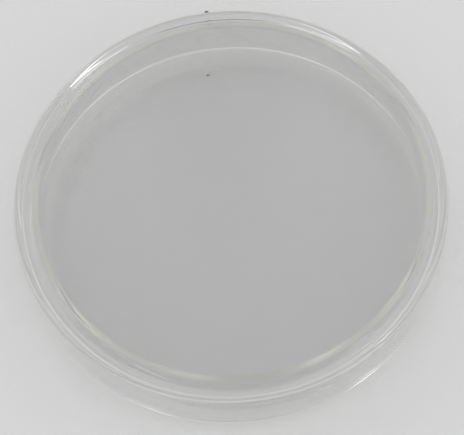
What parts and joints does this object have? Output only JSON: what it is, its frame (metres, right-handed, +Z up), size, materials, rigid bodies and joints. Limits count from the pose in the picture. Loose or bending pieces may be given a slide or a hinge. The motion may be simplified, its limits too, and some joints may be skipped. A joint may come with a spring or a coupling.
{
  "type": "petri dish",
  "caption": "Shallow round glass culture dish with a loose, overlapping glass lid that lifts straight off.",
  "frame": {"origin": "on the lid's axis, at the level of the surface under the dish, with the lid on", "axes": "+Z up out of the lid's flat top, along the way it lifts; +Y towards the side of the lid with the glass pip; +X to the right of that"},
  "size_m": [0.1, 0.1004, 0.0192],
  "materials": {
    "dish_glass": "polished clear glass, faint yellow-green in the thickness",
    "lid_glass": "polished clear glass, faint yellow-green in the thickness"
  },
  "bodies": {
    "dish": {"base_dish": "dish_glass"},
    "lid": {"lid": "lid_glass"}
  },
  "joints": [
    {"name": "lid_lift", "type": "slide", "parent": "dish", "child": "lid", "axis": [0, 0, 1], "range_m": [0, 0.03]}
  ]
}
